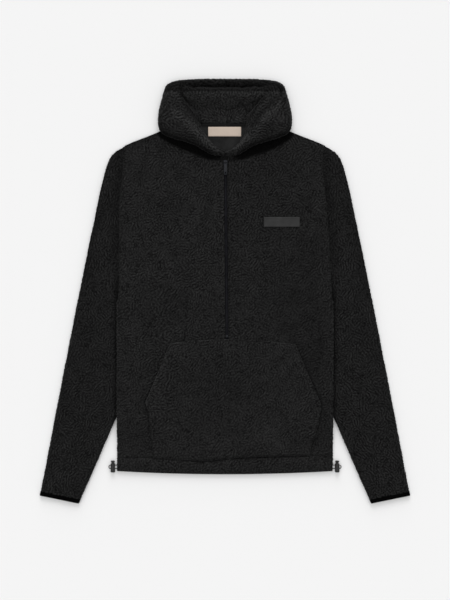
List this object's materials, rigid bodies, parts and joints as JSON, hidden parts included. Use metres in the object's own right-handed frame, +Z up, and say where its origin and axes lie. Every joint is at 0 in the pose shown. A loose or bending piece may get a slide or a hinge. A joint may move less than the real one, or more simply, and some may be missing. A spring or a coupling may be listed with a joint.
{
  "type": "sherpa fleece pullover",
  "caption": "Hooded half-zip sherpa fleece pullover laid flat on its back, with a kangaroo pocket, bound cuffs and a hem drawcord.",
  "frame": {"origin": "on the surface that the pullover lies on, under the middle of its box", "axes": "+Y towards the hood, +X to the side that carries the chest patch as seen from above, +Z up"},
  "size_m": [0.7774, 0.8903, 0.0275],
  "materials": {
    "fleece": "curly sherpa fleece, near black",
    "facing": "smooth knitted facing, dark grey",
    "binding": "elastic binding, black",
    "label": "woven label, beige, blank",
    "patch": "moulded rubber patch, dark grey, blank",
    "zip_tape": "woven zip tape and coil, blue black",
    "zip_metal": "coated metal, dark gunmetal",
    "plastic": "moulded plastic, black",
    "cord": "round elastic cord, black"
  },
  "bodies": {
    "garment": {"back_panel": "fleece", "front_panel": "fleece", "hem_back": "fleece", "hem_front": "fleece", "pocket": "fleece", "sleeve_left": "fleece", "sleeve_right": "fleece", "hood_left": "fleece", "hood_right": "fleece", "cuff_binding_left": "binding", "cuff_binding_right": "binding", "back_neck_facing": "facing", "neck_label": "label", "chest_patch": "patch", "zip_chain": "zip_tape", "zip_tape_left": "zip_tape", "zip_tape_right": "zip_tape", "zip_slider": "zip_metal", "toggle_left": "plastic", "toggle_right": "plastic", "cord_left": "cord", "cord_right": "cord"},
    "pull": {"zip_pull": "zip_metal"},
    "button_left": {"plunger_left": "plastic"},
    "button_right": {"plunger_right": "plastic"}
  },
  "joints": [
    {"name": "pull_flip", "type": "hinge", "parent": "garment", "child": "pull", "pos_m": [0.00098, 0.2695, 0.0124], "axis": [-1, 0, 0], "range_deg": [0, 135]},
    {"name": "press_left", "type": "slide", "parent": "garment", "child": "button_left", "axis": [0, -1, 0], "range_m": [0, 0.0025], "stiffness_N_per_m": 400},
    {"name": "press_right", "type": "slide", "parent": "garment", "child": "button_right", "axis": [0, -1, 0], "range_m": [0, 0.0025], "stiffness_N_per_m": 400}
  ]
}
